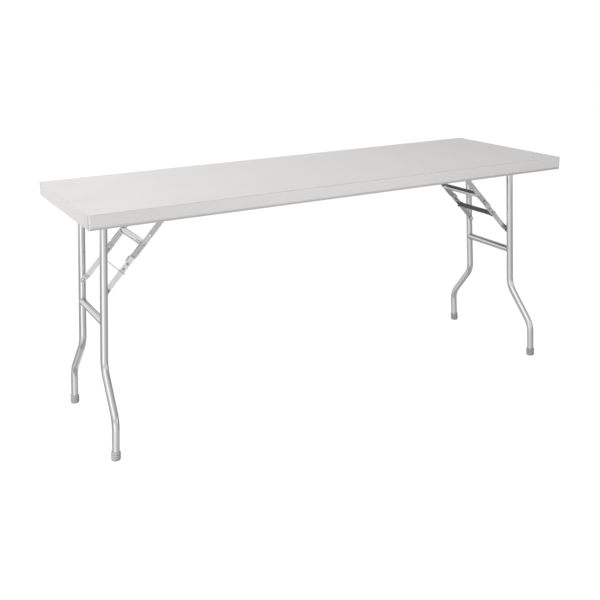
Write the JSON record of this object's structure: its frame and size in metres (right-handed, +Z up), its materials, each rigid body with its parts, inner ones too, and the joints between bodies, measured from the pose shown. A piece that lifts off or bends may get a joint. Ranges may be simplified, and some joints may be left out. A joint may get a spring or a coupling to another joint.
{
  "type": "folding worktable",
  "caption": "Long rectangular steel worktable with a pressed sheet top and two wishbone leg frames that fold flat under it on braced hinges with a release bar.",
  "frame": {"origin": "on the floor under the middle of the top", "axes": "+X along the length of the top, -Y is the front, +Z up"},
  "size_m": [1.83, 0.61, 0.825],
  "materials": {
    "worktop_steel": "fine satin stainless sheet, grain along the length",
    "channel_steel": "dull mill-finish folded sheet",
    "tube_steel": "bright satin-polished round tube",
    "brace_zinc": "zinc-plated flat bar",
    "fastener_steel": "plain plated bolts and rivets",
    "foot_plastic": "grey moulded plastic"
  },
  "bodies": {
    "top": {"worktop_pan": "worktop_steel", "front_stiffener": "channel_steel", "rear_stiffener": "channel_steel", "left_hinge_rail": "channel_steel", "left_brace_rail": "channel_steel", "left_front_hinge_saddle": "channel_steel", "left_rear_hinge_saddle": "channel_steel", "left_front_brace_anchor": "channel_steel", "left_rear_brace_anchor": "channel_steel", "right_hinge_rail": "channel_steel", "right_brace_rail": "channel_steel", "right_front_hinge_saddle": "channel_steel", "right_rear_hinge_saddle": "channel_steel", "right_front_brace_anchor": "channel_steel", "right_rear_brace_anchor": "channel_steel"},
    "left_legs": {"left_hinge_tube": "tube_steel", "left_stretcher": "tube_steel", "left_front_leg": "tube_steel", "left_rear_leg": "tube_steel", "left_front_foot": "foot_plastic", "left_rear_foot": "foot_plastic", "left_front_leg_rivet": "fastener_steel", "left_rear_leg_rivet": "fastener_steel"},
    "left_upper_braces": {"left_front_upper_arm": "brace_zinc", "left_rear_upper_arm": "brace_zinc", "left_front_knee_rivet": "fastener_steel", "left_rear_knee_rivet": "fastener_steel"},
    "left_lower_braces": {"left_front_lower_arm": "brace_zinc", "left_rear_lower_arm": "brace_zinc", "left_knee_bar": "tube_steel", "left_front_guide_rivet_low": "fastener_steel", "left_front_guide_rivet_high": "fastener_steel", "left_rear_guide_rivet_low": "fastener_steel", "left_rear_guide_rivet_high": "fastener_steel"},
    "left_release": {"left_release_bar": "brace_zinc"},
    "right_legs": {"right_hinge_tube": "tube_steel", "right_stretcher": "tube_steel", "right_front_leg": "tube_steel", "right_rear_leg": "tube_steel", "right_front_foot": "foot_plastic", "right_rear_foot": "foot_plastic", "right_front_leg_rivet": "fastener_steel", "right_rear_leg_rivet": "fastener_steel"},
    "right_upper_braces": {"right_front_upper_arm": "brace_zinc", "right_rear_upper_arm": "brace_zinc", "right_front_knee_rivet": "fastener_steel", "right_rear_knee_rivet": "fastener_steel"},
    "right_lower_braces": {"right_front_lower_arm": "brace_zinc", "right_rear_lower_arm": "brace_zinc", "right_knee_bar": "tube_steel", "right_front_guide_rivet_low": "fastener_steel", "right_front_guide_rivet_high": "fastener_steel", "right_rear_guide_rivet_low": "fastener_steel", "right_rear_guide_rivet_high": "fastener_steel"},
    "right_release": {"right_release_bar": "brace_zinc"}
  },
  "joints": [
    {"name": "left_leg_fold", "type": "hinge", "parent": "top", "child": "left_legs", "pos_m": [-0.8186, 0, 0.797], "axis": [0, -1, 0], "range_deg": [0, 94.69]},
    {"name": "left_upper_brace_fold", "type": "hinge", "parent": "top", "child": "left_upper_braces", "pos_m": [-0.56427, 0, 0.801], "axis": [0, 1, 0], "range_deg": [0, 44.94]},
    {"name": "left_lower_brace_fold", "type": "hinge", "parent": "left_legs", "child": "left_lower_braces", "pos_m": [-0.84232, 0, 0.508], "axis": [0, -1, 0], "range_deg": [0, 39.07]},
    {"name": "left_release_slide", "type": "slide", "parent": "left_lower_braces", "child": "left_release", "axis": [-0.6884, 0, -0.7254], "range_m": [0, 0.012], "stiffness_N_per_m": 250, "springref_m": -0.012},
    {"name": "right_leg_fold", "type": "hinge", "parent": "top", "child": "right_legs", "pos_m": [0.8186, 0, 0.797], "axis": [0, 1, 0], "range_deg": [0, 94.69]},
    {"name": "right_upper_brace_fold", "type": "hinge", "parent": "top", "child": "right_upper_braces", "pos_m": [0.56427, 0, 0.801], "axis": [0, -1, 0], "range_deg": [0, 44.94]},
    {"name": "right_lower_brace_fold", "type": "hinge", "parent": "right_legs", "child": "right_lower_braces", "pos_m": [0.84232, 0, 0.508], "axis": [0, 1, 0], "range_deg": [0, 39.07]},
    {"name": "right_release_slide", "type": "slide", "parent": "right_lower_braces", "child": "right_release", "axis": [0.6884, 0, -0.7254], "range_m": [0, 0.012], "stiffness_N_per_m": 250, "springref_m": -0.012}
  ],
  "couplings": [
    {"joint": "left_upper_brace_fold", "follows": "left_leg_fold", "ratio": 0.47464},
    {"joint": "left_lower_brace_fold", "follows": "left_leg_fold", "ratio": 0.4126},
    {"joint": "right_upper_brace_fold", "follows": "right_leg_fold", "ratio": 0.47464},
    {"joint": "right_lower_brace_fold", "follows": "right_leg_fold", "ratio": 0.4126}
  ]
}
